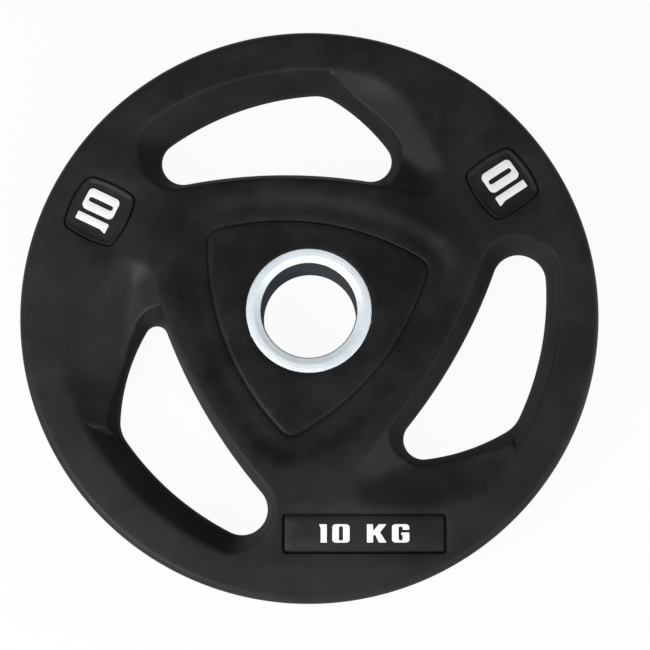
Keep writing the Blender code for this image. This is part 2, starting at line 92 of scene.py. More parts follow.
def make_camera():
    """The camera at the photograph's angle, aimed at the hub's front face."""
    turn = Matrix.Rotation(CAMERA_TILT, 3, "X") @ Matrix.Rotation(CAMERA_TURN, 3, "Y")
    offset = Vector((*PICTURE_OFFSET, -CAMERA_DISTANCE))
    place = -(turn.transposed() @ offset) + Vector((0, 0, HUB_FACE))
    data = bpy.data.cameras.new("camera")
    data.lens = LENS
    camera = add_object("camera", data)
    camera.matrix_world = Matrix.Translation(place) @ turn.transposed().to_4x4()
    bpy.context.scene.camera = camera
    print("camera at", [round(value, 4) for value in camera.location])


make_camera()

# %% [markdown]
# ## Outlines made of arcs
#
# Every edge on this face is a run of gentle arcs with rounded corners between them: the grip holes, the
# crest round each scoop, the shield round the hub, the badges and the label. Bezier curves could draw them,
# but arcs are how a mould maker dimensions them. So an outline here is a list of corners, how far each side
# bulges, and a radius for each corner.

# %% Arc outlines
def polar(radius, angle):
    return (radius * math.cos(math.radians(angle)), radius * math.sin(math.radians(angle)))


def rotate(points, angle):
    """Turns an array of points about the plate's axis, by an angle in degrees."""
    turn = math.radians(angle)
    x, y = points[:, 0], points[:, 1]
    return np.stack([x * math.cos(turn) - y * math.sin(turn), x * math.sin(turn) + y * math.cos(turn)], 1)


def side_circle(start, end, bulge):
    """Centre and signed radius of the arc from start to end that stands `bulge` off the chord."""
    length = math.dist(start, end)
    radius = (length * length / 4 + bulge * bulge) / (2 * bulge)
    out_x, out_y = (end[1] - start[1]) / length, (start[0] - end[0]) / length
    middle_x, middle_y = (start[0] + end[0]) / 2, (start[1] + end[1]) / 2
    return (middle_x + out_x * (bulge - radius), middle_y + out_y * (bulge - radius), radius)


def corner_fillet(before, after, corner, radius):
    """The centre of the circle of the given radius that touches two side circles next to their corner."""
    reach_before = abs(before[2]) - math.copysign(radius, before[2])
    reach_after = abs(after[2]) - math.copysign(radius, after[2])
    dx, dy = after[0] - before[0], after[1] - before[1]
    apart = math.hypot(dx, dy)
    along = (reach_before ** 2 - reach_after ** 2 + apart ** 2) / (2 * apart)
    across = math.sqrt(max(reach_before ** 2 - along ** 2, 0.0))
    choices = []
    for side in (1, -1):
        x = before[0] + (along * dx - side * across * dy) / apart
        y = before[1] + (along * dy + side * across * dx) / apart
        choices.append((math.dist((x, y), corner), x, y))
    _, x, y = min(choices)
    return (x, y)


def touch_point(fillet, circle):
    scale = abs(circle[2]) / math.dist(fillet, circle[:2])
    return (circle[0] + (fillet[0] - circle[0]) * scale, circle[1] + (fillet[1] - circle[1]) * scale)


def arc_points(centre, start, end, spacing=None, steps=3):
    """Points of the short arc from start towards end, without the end itself, in `steps` steps or more."""
    radius = math.dist(centre, start)
    first = math.atan2(start[1] - centre[1], start[0] - centre[0])
    last = math.atan2(end[1] - centre[1], end[0] - centre[0])
    sweep = (last - first + math.pi) % (2 * math.pi) - math.pi
    if spacing:
        steps = max(steps, math.ceil(abs(sweep) * radius / spacing))
    angles = [first + sweep * step / steps for step in range(steps)]
    return [(centre[0] + radius * math.cos(a), centre[1] + radius * math.sin(a)) for a in angles]


def bulged_outline(corners, bulges, fillets, spacing):
    """A closed counter-clockwise outline of arcs with a rounded corner between each two."""
    count = len(corners)
    sides = [side_circle(corners[i], corners[(i + 1) % count], bulges[i]) for i in range(count)]
    rounds = [corner_fillet(sides[i - 1], sides[i], corners[i], fillets[i]) for i in range(count)]
    points = []
    for i in range(count):
        start = touch_point(rounds[i], sides[i - 1])
        turn = touch_point(rounds[i], sides[i])
        end = touch_point(rounds[(i + 1) % count], sides[i])
        points += arc_points(rounds[i], start, turn, spacing)
        points += arc_points(sides[i][:2], turn, end, spacing)
    return np.array(points)


def circle(radius, steps):
    angles = np.arange(steps) * 2 * math.pi / steps
    return np.stack([radius * np.cos(angles), radius * np.sin(angles)], 1)


def quarter(steps, first=0):
    """Pairs of 1 - cos and 1 - sin at even steps of a quarter turn, for edges that are rounded over."""
    turns = [math.pi / 2 * step / steps for step in range(first, steps + 1)]
    return [(1 - math.cos(turn), 1 - math.sin(turn)) for turn in turns]


def grow(outline, amount):
    """Moves an outline outwards along the mean of the directions of its neighbouring sides."""
    ahead = np.roll(outline, -1, 0) - outline
    behind = outline - np.roll(outline, 1, 0)
    out = np.stack([ahead[:, 1], -ahead[:, 0]], 1) / np.linalg.norm(ahead, axis=1)[:, None]
    out += np.stack([behind[:, 1], -behind[:, 0]], 1) / np.linalg.norm(behind, axis=1)[:, None]
    scale = amount * 2 / (out * out).sum(1)
    return outline + out * scale[:, None]


BLOCK = 3000
LEVEL_SIDE_RISE = 1e-12


def distance_inside(outline, points):
    """Distance from each point to a closed outline: positive inside it, negative outside."""
    start = outline[None, :, :]
    side = np.roll(outline, -1, 0)[None, :, :] - start
    length = (side * side).sum(2)
    rise = np.where(side[..., 1] == 0, LEVEL_SIDE_RISE, side[..., 1])
    result = []
    for first in range(0, len(points), BLOCK):
        offset = points[first:first + BLOCK, None, :] - start
        share = np.clip((offset * side).sum(2) / length, 0, 1)
        nearest = offset - share[..., None] * side
        distance = np.sqrt((nearest * nearest).sum(2)).min(1)
        crosses = (offset[..., 1] < 0) != (offset[..., 1] < side[..., 1])
        passes = offset[..., 0] < side[..., 0] * offset[..., 1] / rise
        inside = (crosses & passes).sum(1) % 2 == 1
        result.append(np.where(inside, distance, -distance))
    return np.concatenate(result)


# %% [markdown]
# ## The lines on the face
#
# The three recesses are one outline turned by a third of a turn each time. The holes through the plate are
# alike too, but in the photograph each sits a little differently in its recess, so each has its own numbers
# here, given as if its grip were the top one. Corners are given as a distance in from the rim's edge and an
# angle, since that is what stays put when a plate is made larger or smaller.

# %% Recesses, holes, shield, badges and label
RECESS_CORNERS = ((0.0500, 143.0), (0.0574, 35.5), (0.0200, 72.6), (0.0187, 132.7))
RECESS_BULGES = (-0.0120, 0.0061, 0.0157, 0.0037)
RECESS_FILLETS = (0.0202, 0.0129, 0.0420, 0.0138)
HOLE_CORNERS = (
    ((0.0287, 151.2), (0.0659, 51.2), (0.0306, 86.4)),
    ((0.0212, 155.4), (0.0734, 58.8), (0.0349, 91.9)),
    ((0.0152, 154.6), (0.0678, 55.8), (0.0287, 91.3)),
)
HOLE_BULGES = ((-0.0127, 0.0063, 0.0157), (-0.0116, 0.0057, 0.0152), (-0.0133, 0.0065, 0.0161))
HOLE_FILLETS = ((0.0124, 0.0117, 0.0185), (0.0136, 0.0061, 0.0176), (0.0145, 0.0106, 0.0179))
GRIP_CENTRE = (0.0588, 99.0)
GRIP_TURNS = (0, 120, 240)

SHIELD_CORNER_RADIUS = 0.0705
SHIELD_ANGLE = 21.3
SHIELD_BULGE = 0.0136
SHIELD_FILLET = 0.0084

BADGE_ANGLES = (33.6, 154.3)
BADGE_INSET = 0.0297
BADGE_SIZE = (0.0292, 0.0312)
BADGE_BULGES = (0.0017, 0.0024, 0.0017, 0.0024)
BADGE_FILLET = 0.0052

LABEL_INSET = 0.0330
LABEL_ANGLE = -76.16
LABEL_SIZE = (0.0866, 0.0216)
LABEL_FILLET = 0.0025

EDGE_SPACING = 0.0012
SHIELD_SPACING = 0.0010
LABEL_SPACING = 0.0009
BADGE_SPACING = 0.0006
NEARLY_STRAIGHT = 1e-6
SMALLEST_FILLET = 0.0006


def from_rim(corners, bulges, fillets):
    """An outline of the top grip, from corners given as (distance in from the rim's edge, angle)."""
    places = [polar(PLATE_RADIUS - inset, angle) for inset, angle in corners]
    return bulged_outline(places, bulges, fillets, EDGE_SPACING)


def box_corners(centre, length, height):
    x, y = centre
    return [(x + u * length / 2, y + v * height / 2) for u, v in ((-1, -1), (1, -1), (1, 1), (-1, 1))]


def panel_outline(centre, size, inset, bulges, fillet, spacing):
    """A four-sided outline, drawn `inset` further in than its size says."""
    corners = box_corners(centre, size[0] - 2 * inset, size[1] - 2 * inset)
    return bulged_outline(corners, bulges, (max(fillet - inset, SMALLEST_FILLET),) * 4, spacing)


def badge_outline(angle, inset):
    centre = (PLATE_RADIUS - BADGE_INSET, 0)
    return rotate(panel_outline(centre, BADGE_SIZE, inset, BADGE_BULGES, BADGE_FILLET, BADGE_SPACING), angle)


LABEL_CENTRE = polar(PLATE_RADIUS - LABEL_INSET, LABEL_ANGLE)


def label_outline(inset):
    bulges = (NEARLY_STRAIGHT,) * 4
    return panel_outline(LABEL_CENTRE, LABEL_SIZE, inset, bulges, LABEL_FILLET, LABEL_SPACING)


def shield_outline(inset):
    corners = [polar(SHIELD_CORNER_RADIUS, SHIELD_ANGLE + turn) for turn in GRIP_TURNS]
    outline = bulged_outline(corners, (SHIELD_BULGE,) * 3, (SHIELD_FILLET,) * 3, SHIELD_SPACING)
    return grow(outline, -inset)


RECESS = from_rim(RECESS_CORNERS, RECESS_BULGES, RECESS_FILLETS)
HOLES = [from_rim(*hole) for hole in zip(HOLE_CORNERS, HOLE_BULGES, HOLE_FILLETS)]
print(f"outline points: recess {len(RECESS)}, holes {[len(hole) for hole in HOLES]}")

# %% [markdown]
# ## How high the rubber stands
#
# The front face is one height over every point of the plate's outline, so its shape can be written as a
# function instead of being modelled by hand. It starts from the flat rim, sinks a little into a dish that
# follows the shield, and then each line on the face adds its own small section: a groove, a step or a border.
# A section is a row of distances in from the line and a row of the heights there. The same distances are
# used later as rings of vertices, so that no groove falls between two vertices.

# %% Sections of the lines, and the dish
DISH_DEPTH = 0.0020
DISH_FADE = (0.0070, 0.0170)
SHIELD_RAISE = DISH_DEPTH - HUB_SINK
PANEL_DROP = 0.0011

SHIELD_SECTION = (
    (-0.0003, 0.0001, 0.0004, 0.0007, 0.0010, 0.0013, 0.0017, 0.0022),
    (0.0, -0.00015, -0.00050, -0.00065, -0.00035, 0.00035, 0.00080, SHIELD_RAISE),
)
BADGE_SECTION = (
    (-0.0003, 0.0000, 0.0002, 0.0005, 0.0008, 0.0011, 0.0014, 0.0019, 0.0027, 0.0034, 0.0038),
    (0.0, -0.0001, -0.0009, -0.0020, -0.0021, -0.0010, -0.0003, -0.0002, -0.0006, -0.0010, -PANEL_DROP),
)
LABEL_SECTION = (
    (-0.0003, 0.0000, 0.0002, 0.0005, 0.0009, 0.0013, 0.0016, 0.0019),
    (0.0, -0.0001, -0.0009, -0.0024, -0.0026, -0.0023, -0.0013, -PANEL_DROP),
)


def smooth_step(value):
    share = np.clip(value, 0, 1)
    return share * share * (3 - 2 * share)


def fade(distance, span):
    """One up to the start of a span of distances, zero past its end, and smooth between."""
    return 1 - smooth_step((distance - span[0]) / (span[1] - span[0]))


def smooth_lowest(first, second, blend):
    """The lower of two heights, with the corner between them rounded over about `blend`."""
    close = np.clip(blend - np.abs(first - second), 0, None) / blend
    return np.minimum(first, second) - close * close * blend / 4


LINES = [(shield_outline, SHIELD_SECTION), (label_outline, LABEL_SECTION)]
for badge_angle in BADGE_ANGLES:
    LINES.append((lambda inset, angle=badge_angle: badge_outline(angle, inset), BADGE_SECTION))
LINE_OUTLINES = [(draw(0), section) for draw, section in LINES]


def face_height(points):
    """Height of the face over the middle plane, leaving the grip recesses out."""
    from_shield = -distance_inside(LINE_OUTLINES[0][0], points)
    height = HALF - DISH_DEPTH * fade(from_shield, DISH_FADE)
    for outline, (distances, heights) in LINE_OUTLINES:
        height = height + np.interp(distance_inside(outline, points), distances, heights)
    return height


# %% [markdown]
# ## The grip recess
#
# Seen in section, a recess is two surfaces that meet. One is a scoop that falls from the crest, so its two
# sides meet in a valley, as the two sides of a roof do upside down. It falls faster in two places, for which
# it has a bowl of its own: next to the spur, and along the hub. The other surface is the wall that climbs
# from the hole to the face. On the rim's side the wall is broad and reaches the crest itself. Right of a
# short spur it turns narrow and steep, and its top is where it cuts through the scoop. Taking the lower of
# the two surfaces gives that ridge for free, and blending them keeps it soft, as moulded rubber is. The
# lip at the hole is half of a rounded nose, and the other half belongs to the rear cover.

# %% Height inside a recess
SCOOP_SLOPE = 0.33
VALLEY_BLEND = 0.0030
VALLEY_SAMPLES = 6
SPUR_BOWL = (0.28, 0.0026)
SPUR_BOWL_FADE = (0.012, 0.044)
HUB_BOWL = (0.18, 0.0022)
HUB_BOWL_FADE = (0.000, 0.048)
WALL_REACH = 0.0090
WALL_REACH_MORE = 0.0120
SPUR_ENDS = ((0.0290, 88.6), (0.0204, 83.0))
SPUR_BLEND = 0.0080
SPUR_SHIFT = 0.1
OUTSIDE_SHARE = 0.6
SHORTEST = 1e-6
NOSE_WIDTH = 0.0015
NOSE_HALF = 0.0030
CREST_BLEND = 0.0010
RIDGE_BLEND = 0.0014


def bowl(distance, slope, depth):
    """Depth of a bowl that falls evenly from its edge and then levels out."""
    return smooth_lowest(slope * np.clip(distance, 0, None), depth, depth / 2)


def recess_height(points, index):
    """Height in and just around one grip recess, with its crest rounded into the face."""
    face = face_height(points)
    in_window = rotate(points, -GRIP_TURNS[index])
    low, high = (np.array(polar(PLATE_RADIUS - inset, angle)) for inset, angle in SPUR_ENDS)
    along = (high - low) / math.dist(high, low)
    right_of_spur = (in_window - low) @ (along[1], -along[0])
    near_spur = fade(right_of_spur, SPUR_BOWL_FADE)
    start, end = (polar(PLATE_RADIUS - inset, angle) for inset, angle in RECESS_CORNERS[:2])
    x, y, radius = side_circle(start, end, RECESS_BULGES[0])
    from_hub = np.hypot(in_window[:, 0] - x, in_window[:, 1] - y) - abs(radius)
    near_hub = fade(from_hub, HUB_BOWL_FADE)
    scoop = face
    for offset in circle(VALLEY_BLEND, VALLEY_SAMPLES):
        inside = distance_inside(RECESS, in_window + offset)
        scoop = scoop - SCOOP_SLOPE * inside / VALLEY_SAMPLES
        scoop = scoop - near_spur * bowl(inside, *SPUR_BOWL) / VALLEY_SAMPLES
        scoop = scoop - near_hub * bowl(inside, *HUB_BOWL) / VALLEY_SAMPLES
    from_crest = distance_inside(RECESS, in_window)
    from_hole = np.clip(-distance_inside(HOLES[index], in_window), 0, None)
    reach = WALL_REACH + WALL_REACH_MORE * smooth_step(SPUR_SHIFT - right_of_spur / SPUR_BLEND)
    across = np.maximum(from_hole + np.maximum(from_crest, -OUTSIDE_SHARE * from_hole), SHORTEST)
    nose = NOSE_HALF * np.sqrt(1 - (1 - np.clip(from_hole / NOSE_WIDTH, 0, 1)) ** 2)
    wall = nose + (face - NOSE_HALF) * from_hole / np.minimum(across, reach)
    return smooth_lowest(face, smooth_lowest(scoop, wall, RIDGE_BLEND), CREST_BLEND)


# %% [markdown]
# ## Paired points along rays
#
# The band between a hole and its crest needs a clean grid. Rays from the middle of the grip give one: each
# ray crosses the hole's edge once and the crest once, and the rows of the grid are steps from one crossing
# to the other. The rays are spread so that neighbours are equally far apart on whichever edge is longer.

# %% Rays of a grip
RAY_SAMPLES = 2880
RAY_SPACING = 0.0012
PARALLEL = 1e-15
SIDE_END_SLACK = 1e-6


def ray_hits(centre, angles, outline):
    """The points where rays from a centre, at the given angles, leave a closed outline."""
    direction = np.stack([np.cos(angles), np.sin(angles)], 1)[:, None, :]
    start = (outline - centre)[None, :, :]
    side = np.roll(outline, -1, 0)[None, :, :] - outline[None, :, :]
    cross = direction[..., 0] * side[..., 1] - direction[..., 1] * side[..., 0]
    cross = np.where(np.abs(cross) < PARALLEL, PARALLEL, cross)
    along = (start[..., 0] * side[..., 1] - start[..., 1] * side[..., 0]) / cross
    on_side = (start[..., 0] * direction[..., 1] - start[..., 1] * direction[..., 0]) / cross
    valid = (along > 0) & (on_side > -SIDE_END_SLACK) & (on_side < 1 + SIDE_END_SLACK)
    reach = np.where(valid, along, np.inf).min(1)
    return centre + direction[:, 0, :] * reach[:, None]


def grip_rays(index):
    """The hole's edge and the crest of one grip, as points in pairs along rays."""
    turn = GRIP_TURNS[index]
    centre = rotate(np.array([polar(PLATE_RADIUS - GRIP_CENTRE[0], GRIP_CENTRE[1])]), turn)[0]
    hole, crest = rotate(HOLES[index], turn), rotate(RECESS, turn)
    angles = np.arange(RAY_SAMPLES + 1) * 2 * math.pi / RAY_SAMPLES
    inner = ray_hits(centre, angles, hole)
    outer = ray_hits(centre, angles, crest)
    steps = [np.linalg.norm(np.diff(edge, axis=0), axis=1) for edge in (inner, outer)]
    travel = np.concatenate([[0], np.cumsum(np.maximum(*steps))])
    count = round(travel[-1] / RAY_SPACING)
    chosen = np.interp(np.arange(count) * travel[-1] / count, travel, angles)
    return ray_hits(centre, chosen, hole), ray_hits(centre, chosen, crest)


GRIPS = [grip_rays(index) for index in range(3)]
print("rays in each grip:", [len(hole) for hole, _ in GRIPS])

# %% [markdown]
# ## A small mesh builder
#
# The cover is a set of rings joined by bands of quads, with flat-ish regions between rings that have no
# simple grid, such as the face around the badges. Blender's constrained triangulation fills those: it takes
# every ring as a line that it may not cross, and returns triangles. The builder below keeps the rings'
# vertices shared, so the result is one closed skin. It also stores how steep the surface is at each vertex,
# which the rubber's finish reads.

# %% Mesh builder
SHARP_ANGLE = math.radians(40)
SAME_POINT = 1e-9


def closed_object(name, mesh, clean):
    """The object of a closed mesh, after `clean` has worked on it, with its normals outward."""
    work = bmesh.new()
    work.from_mesh(mesh)
    clean(work)
    bmesh.ops.recalc_face_normals(work, faces=work.faces)
    open_edges = sum(1 for edge in work.edges if len(edge.link_faces) != 2)
    work.to_mesh(mesh)
    work.free()
    mesh.shade_smooth()
    mesh.set_sharp_from_angle(angle=SHARP_ANGLE)
    print(f"{name}: {len(mesh.polygons)} faces, {open_edges} open edges")
    return add_object(name, mesh)


def keep_triangles(work):
    """Drops the vertices that no face uses, and cuts the rest into triangles."""
    loose = [vertex for vertex in work.verts if not vertex.link_faces]
    bmesh.ops.delete(work, geom=loose, context="VERTS")
    bmesh.ops.triangulate(work, faces=work.faces)


class Mould:
    """Collects rings, bands and filled regions, and turns them into one closed object."""

    def __init__(self):
        self.points = []
        self.count = 0
        self.faces = []

    def ring(self, outline, heights):
        heights = np.broadcast_to(heights, len(outline))
        self.points.append(np.column_stack([outline, heights]))
        first = self.count
        self.count += len(outline)
        return np.arange(first, self.count)

    def circles(self, profile, steps):
        """A ring round the axis for each (radius, height) of a profile."""
        return [self.ring(circle(radius, steps), height) for radius, height in profile]

    def bands(self, rings):
        for first, second in zip(rings, rings[1:]):
            quads = np.stack([first, np.roll(first, -1), np.roll(second, -1), second], 1)
            self.faces += quads.tolist()

    def fill(self, outer, holes, lines, loose, height):
        """Fills an outline around its holes, and returns the rings of the outline and the holes."""
        points, edges, count = [], [], 0
        for outline in [outer] + holes + lines:
            size = len(outline)
            points.append(outline)
            edges += [(count + i, count + (i + 1) % size) for i in range(size)]
            count += size
        points = np.concatenate(points + [loose])
        result = delaunay_2d_cdt(points.tolist(), edges, [], 0, SAME_POINT, True)
        corners = np.array([tuple(point) for point in result[0]])
        triangles = np.array(result[2])
        middles = corners[triangles].mean(1)
        keep = distance_inside(outer, middles) > 0
        for hole in holes:
            keep &= distance_inside(hole, middles) < 0
        place = {sources[0]: index for index, sources in enumerate(result[3]) if sources}
        indices = self.ring(corners, height(corners))
        self.faces += indices[triangles[keep]].tolist()
        rings, first = [], 0
        for outline in [outer] + holes:
            rings.append(np.array([indices[place[first + i]] for i in range(len(outline))]))
            first += len(outline)
        return rings

    def object(self, name, flipped=False):
        """Makes the object, with its height measured from the plate's middle plane."""
        points = np.concatenate(self.points)
        points[:, 2] = MIDDLE + points[:, 2] * (-1 if flipped else 1)
        mesh = bpy.data.meshes.new(name)
        mesh.from_pydata(points.tolist(), [], self.faces)
        piece = closed_object(name, mesh, keep_triangles)
        steep = mesh.attributes.new("steep", "FLOAT", "POINT")
        steep.data.foreach_set("value", [1 - abs(vertex.normal.z) for vertex in mesh.vertices])
        return piece


# %% [markdown]
# ## The rubber cover
#
# The cover is made in two halves that meet on the mould's parting plane. Each half is built from the outside
# in: the face and its lines, the rounded rim, the shallow groove where the halves of the mould met, the
# pocket that the iron fills, and then the three grips. Rings stand closer together where the surface turns
# quickly, which is along the crest and round the nose of the hole.

# %% Rubber halves
EDGE_RADIUS = 0.0042
RIM_STEPS = 540
EDGE_STEPS = 12
SEAM_DEPTH = 0.00018
SEAM_HALF = 0.0004
HUB_STEPS = 192
HUB_ROUND = 0.0006
HUB_ROUND_STEPS = 3
CLEARANCE = 0.0003
HUB_HOLE_RADIUS = SLEEVE_RADIUS + CLEARANCE
CORE_RADIUS = (core_high[0] - core_low[0]) / 2
POCKET_RADIUS = CORE_RADIUS + CLEARANCE
POCKET_HALF = core_high[2] - MIDDLE + CLEARANCE
COLLAR_COVER = 0.0009
NOSE_STEPS = 7
BAND_STEPS = 24
CREST_STEPS = 6
CREST_WIDTH = 0.0024
LARGEST_SHARE = 0.35
OUTSIDE_STEPS = (0.0003, 0.0007, 0.0012, 0.0019, 0.0028)
FINE_RADIUS = 0.090
FINE_SPACING, FINE_GAP = 0.0024, 0.0030
COARSE_SPACING, COARSE_GAP = 0.0060, 0.0045
EDGE_MARGIN = 0.002
NO_POINTS = np.empty((0, 2))


def loose_points(outlines, spacing, low, high, gap):
    """A honeycomb of points between two radii that keeps clear of every outline."""
    side = np.arange(-high, high, spacing)
    grid = np.array([(x + (row % 2) * spacing / 2, y) for row, y in enumerate(side) for x in side])
    radius = np.linalg.norm(grid, axis=1)
    grid = grid[(radius > low) & (radius < high)]
    for outline in outlines:
        grid = grid[np.abs(distance_inside(outline, grid)) > gap]
    return grid


def ring_shares(hole, crest):
    """How far along its ray each ring of a grip lies, for every ray."""
    length = np.linalg.norm(crest - hole, axis=1)
    nose, rise = (np.minimum(width, LARGEST_SHARE * length) / length for width in (NOSE_WIDTH, CREST_WIDTH))
    shares = [nose * near for near, _ in quarter(NOSE_STEPS, 1)]
    shares += [nose + (1 - rise - nose) * step / BAND_STEPS for step in range(1, BAND_STEPS + 1)]
    shares += [1 - rise * (1 - step / CREST_STEPS) for step in range(1, CREST_STEPS)]
    return shares


def level(height):
    """The height function of a flat region."""
    return lambda points: np.full(len(points), height)


def make_cover():
    """One half of the cover, as a mesh builder that holds its rings and faces."""
    mould = Mould()
    around = [[grow(crest, amount) for amount in OUTSIDE_STEPS] for _, crest in GRIPS]
    borders = [rings[-1] for rings in around]
    lines = [draw(inset) for draw, section in LINES for inset in section[0]]
    avoided = borders + [outline for outline, _ in LINE_OUTLINES]
    low, high = HUB_HOLE_RADIUS + EDGE_MARGIN, PLATE_RADIUS - EDGE_RADIUS - EDGE_MARGIN
    fine = loose_points(avoided, FINE_SPACING, low, FINE_RADIUS, FINE_GAP)
    coarse = loose_points(avoided, COARSE_SPACING, FINE_RADIUS, high, COARSE_GAP)
    rim = circle(PLATE_RADIUS - EDGE_RADIUS, RIM_STEPS)
    hub = circle(HUB_HOLE_RADIUS + HUB_ROUND, HUB_STEPS)
    face = mould.fill(rim, borders + [hub], lines, np.concatenate([fine, coarse]), face_height)

    rounded = quarter(EDGE_STEPS, 1)
    profile = [(PLATE_RADIUS - EDGE_RADIUS * far, HALF - EDGE_RADIUS * near) for near, far in rounded]
    profile += [(PLATE_RADIUS, SEAM_HALF), (PLATE_RADIUS - SEAM_DEPTH, 0), (POCKET_RADIUS, 0)]
    edge = [face[0]] + mould.circles(profile, RIM_STEPS)

    collars = [grow(crest, COLLAR_COVER) for _, crest in GRIPS]
    pocket_hub = circle(HUB_HOLE_RADIUS, HUB_STEPS)
    pocket_rim = circle(POCKET_RADIUS, RIM_STEPS)
    pocket = mould.fill(pocket_rim, collars + [pocket_hub], [], NO_POINTS, level(POCKET_HALF))
    mould.bands(edge + [pocket[0]])

    rounded, top = quarter(HUB_ROUND_STEPS, 1), HALF - HUB_SINK
    profile = [(HUB_HOLE_RADIUS + HUB_ROUND * far, top - HUB_ROUND * near) for near, far in rounded]
    mould.bands([face[-1]] + mould.circles(profile, HUB_STEPS) + [pocket[-1]])

    for index, (hole, crest) in enumerate(GRIPS):
        rings = [mould.ring(hole, 0)]
        for share in ring_shares(hole, crest):
            points = hole + (crest - hole) * share[:, None]
            rings.append(mould.ring(points, recess_height(points, index)))
        for outline in [crest] + around[index][:-1]:
            rings.append(mould.ring(outline, recess_height(outline, index)))
        mould.bands(rings + [face[1 + index]])
        mould.bands([rings[0], mould.ring(collars[index], 0), pocket[1 + index]])
    return mould


cover = make_cover()
front_cover = cover.object("front_cover")
rear_cover = cover.object("rear_cover", flipped=True)

# %% [markdown]
# ## The hub sleeve
#
# The sleeve is turned on a lathe: one section, spun round the axis. A Screw modifier would do it, and so
# would a spin in mesh code. Here a Geometry Nodes tree does it, with the section as the object's own mesh
# and the number of segments as an input; the spun result is then kept as a plain mesh and the section's
# object removed. The section is drawn as a closed line, turned into a curve, and carried round a circle by
# Curve to Mesh.

# %% Section of the sleeve
BORE_RADIUS = 0.0254
RIM_ROUND = 0.0008
BORE_EDGE_ROUND = 0.0008
LEAD_IN_WIDTH = 0.0029
LEAD_IN_DEPTH = 0.0012
LEAD_IN_ROUND = 0.0003
LEAD_IN_DROPS = (0.00006, 0.0002)
ROUND_STEPS = 6
SPIN_SEGMENTS = 256
PATH_RADIUS = 1.0


def sleeve_section():
    """The sleeve's section as (radius, height) pairs, from the outer wall over the end face to the bore."""
    face_edge = BORE_RADIUS + BORE_EDGE_ROUND + LEAD_IN_WIDTH
    rounded = quarter(ROUND_STEPS)
    upper = [(SLEEVE_RADIUS - RIM_ROUND * near, SLEEVE_HALF - RIM_ROUND * far) for near, far in rounded]
    upper += [(face_edge + LEAD_IN_ROUND, SLEEVE_HALF), (face_edge, SLEEVE_HALF - LEAD_IN_DROPS[0])]
    upper.append((face_edge - LEAD_IN_ROUND, SLEEVE_HALF - LEAD_IN_DROPS[1]))
    low, drop = SLEEVE_HALF - LEAD_IN_DEPTH, 2 * BORE_EDGE_ROUND
    upper += [(BORE_RADIUS + BORE_EDGE_ROUND * far, low - drop * near) for near, far in rounded]
    return upper + [(radius, -height) for radius, height in reversed(upper)]


section = sleeve_section()
print(f"sleeve section: {len(section)} points")


# %% Tree that spins a section
def spin_tree():
    """A tree that carries the object's own outline round the vertical axis, and its inputs' identifiers."""
    tree = bpy.data.node_groups.new("spin_section", "GeometryNodeTree")
    inputs = {}
    for name, kind in (("Geometry", "Geometry"), ("Segments", "Int"), ("Material", "Material")):
        socket = tree.interface.new_socket(name, in_out="INPUT", socket_type=f"NodeSocket{kind}")
        inputs[name] = socket.identifier
    tree.interface.new_socket("Geometry", in_out="OUTPUT", socket_type="NodeSocketGeometry")

    def add(kind, **sockets):
        node = tree.nodes.new(kind)
        for name, socket in sockets.items():
            tree.links.new(socket, node.inputs[name.replace("_", " ")])
        return node

    source = add("NodeGroupInput").outputs
    outline = add("GeometryNodeMeshToCurve", Mesh=source["Geometry"]).outputs["Curve"]
    path = add("GeometryNodeCurvePrimitiveCircle", Resolution=source["Segments"])
    path.inputs["Radius"].default_value = PATH_RADIUS
    sweep = add("GeometryNodeCurveToMesh", Curve=path.outputs["Curve"], Profile_Curve=outline)
    realize = add("GeometryNodeRealizeInstances", Geometry=sweep.outputs["Mesh"]).outputs["Geometry"]
    finish = add("GeometryNodeSetMaterial", Geometry=realize, Material=source["Material"])
    add("NodeGroupOutput", Geometry=finish.outputs["Geometry"])
    return tree, inputs


# %% [markdown]
# ## Numerals and characters
#
# The white figures are thin inlays that stand proud of their panels. A Text object would be quick, but the
# photograph's figures have their own shape: a squared nought with a slot for its counter, and a one with a
# short flag. They are drawn as polygons with rounded corners, given as shares of the figure's height, and
# each gets a small round along its upper edge that catches the light.

# %% Figures as outlines
NUMERAL_HEIGHT = 0.0184
NUMERAL_GAP = 0.0024
NUMERAL_OFFSET = 0.0012
CHARACTER_HEIGHT = 0.0096
CHARACTER_STRETCH = 1.45
CHARACTER_GAP = 0.0028
WORD_GAP = 0.0090
INLAY_STAND = 0.0008
ROUND_WIDTH = 0.655
ROUND_CORNER = 0.150
COUNTER_WIDTH = 0.150
COUNTER_HEIGHT = 0.775
STROKE = 0.235
FLAG_REACH = 0.055
FLAG_HEIGHT = 0.190
FLAG_TIP = 0.050
FLAG_SOFT = 0.016
K_WIDTH = 0.740
K_FOOT = 1.25
K_NOTCH = (0.31, 0.44)
K_CROTCH = (0.50, 0.56)
K_STEM_SPAN = (0.36, 0.62)
G_BAR = (0.40, 0.55)
G_LIP = 0.69
G_BAR_INSET = 0.1
G_EXTRA = 0.02
SOFT = 0.022
COUNTER_ROUND = (0.49, 0.45)


def rounded_polygon(corners, radii, steps=8):
    """A closed outline of straight sides with each corner rounded by its own radius."""
    points = []
    for i, corner in enumerate(corners):
        before = np.subtract(corners[i - 1], corner)
        after = np.subtract(corners[(i + 1) % len(corners)], corner)
        before = before / np.linalg.norm(before)
        after = after / np.linalg.norm(after)
        half_angle = math.acos(float(before @ after)) / 2
        length = radii[i] / math.tan(half_angle)
        start, end = corner + before * length, corner + after * length
        middle = before + after
        centre = corner + middle / np.linalg.norm(middle) * radii[i] / math.sin(half_angle)
        points += arc_points(centre, start, end, steps=steps) + [tuple(end)]
    return np.array(points)


